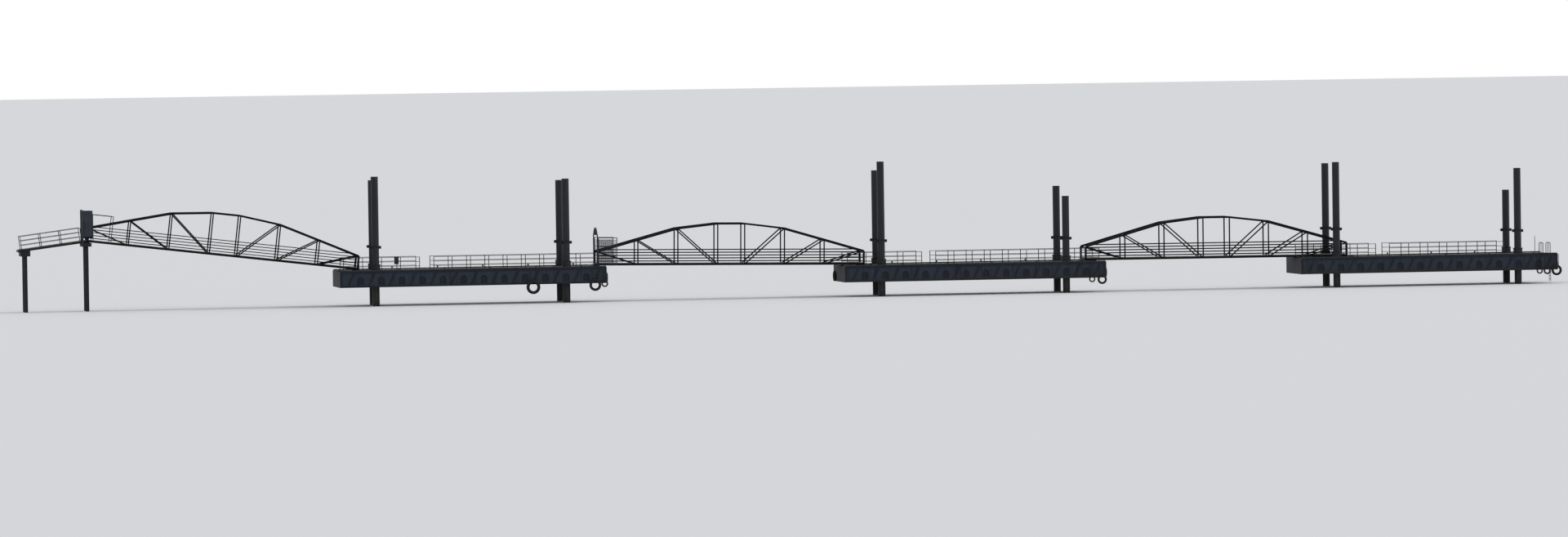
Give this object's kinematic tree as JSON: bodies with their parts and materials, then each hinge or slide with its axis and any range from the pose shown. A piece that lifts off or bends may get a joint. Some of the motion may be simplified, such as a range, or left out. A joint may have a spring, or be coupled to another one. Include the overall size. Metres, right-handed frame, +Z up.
{
  "type": "steel pontoon jetty on piles, scale model 1:10",
  "caption": "Long jetty of raised box pontoons on tubular piles, joined by sloping and level truss footbridges, with a short railed approach, gates, tyre fenders and a boarding ladder; 1:10 model.",
  "frame": {"origin": "middle of the jetty's length and width, at the foot of the piles, which is the water's level", "axes": "+X along the jetty from the shore outwards, +Z up, -Y the side that faces the picture's camera"},
  "size_m": [13.1624, 0.6244, 1.14],
  "materials": {
    "bent_steel": "weathered dark grey paint",
    "deck_boards": "grey weathered boards",
    "railing_steel": "dull galvanized grey",
    "gate_steel": "dull blue grey paint",
    "bearing_steel": "dark paint",
    "truss_steel": "near black weathered paint",
    "hull_paint": "dark blue grey hull paint, stained",
    "kerb_paint": "worn grey paint",
    "pile_steel": "dark coated steel, rust stained at the waterline",
    "guide_steel": "lighter grey paint",
    "collar_steel": "dark paint",
    "fender_rubber": "worn black rubber",
    "bollard_iron": "black painted casting",
    "box_paint": "dark grey paint",
    "ladder_steel": "galvanized, dull"
  },
  "bodies": {
    "jetty": {"shore_piles": "bent_steel", "shore_crossheads": "bent_steel", "approach_deck": "deck_boards", "approach_railing_near": "railing_steel", "approach_railing_far": "railing_steel", "shore_gate_portal": "gate_steel", "shore_gate_screens": "gate_steel", "bridge_bearings": "bearing_steel", "bridge_1_deck": "deck_boards", "bridge_1_truss_near": "truss_steel", "bridge_1_truss_far": "truss_steel", "bridge_2_deck": "deck_boards", "bridge_2_truss_near": "truss_steel", "bridge_2_truss_far": "truss_steel", "bridge_3_deck": "deck_boards", "bridge_3_truss_near": "truss_steel", "bridge_3_truss_far": "truss_steel", "pontoon_1_hull": "hull_paint", "pontoon_1_kerbs": "kerb_paint", "pontoon_1_piles": "pile_steel", "pontoon_1_pile_guides": "guide_steel", "pontoon_1_pile_collars": "collar_steel", "pontoon_2_hull": "hull_paint", "pontoon_2_kerbs": "kerb_paint", "pontoon_2_piles": "pile_steel", "pontoon_2_pile_guides": "guide_steel", "pontoon_2_pile_collars": "collar_steel", "pontoon_3_hull": "hull_paint", "pontoon_3_kerbs": "kerb_paint", "pontoon_3_piles": "pile_steel", "pontoon_3_pile_guides": "guide_steel", "pontoon_3_pile_collars": "collar_steel", "pontoon_1_railing_near": "railing_steel", "pontoon_1_railing_far": "railing_steel", "pontoon_1_fenders": "fender_rubber", "pontoon_1_bollards": "bollard_iron", "pontoon_2_railing_near": "railing_steel", "pontoon_2_railing_far": "railing_steel", "pontoon_2_fenders": "fender_rubber", "pontoon_2_bollards": "bollard_iron", "pontoon_3_railing_near": "railing_steel", "pontoon_3_railing_far": "railing_steel", "pontoon_3_fenders": "fender_rubber", "pontoon_3_bollards": "bollard_iron", "arched_gate": "gate_steel", "arched_gate_screens": "gate_steel", "boarding_ladder": "ladder_steel", "marker_pole": "ladder_steel", "lifebuoy_box": "box_paint"},
    "gate_leaf": {"shore_gate_leaf": "gate_steel"}
  },
  "joints": [
    {"name": "shore_gate_hinge", "type": "hinge", "parent": "jetty", "child": "gate_leaf", "pos_m": [-6.02822, 0.0405, 0.606], "axis": [0, 0, 1], "range_deg": [-90, 0]}
  ]
}
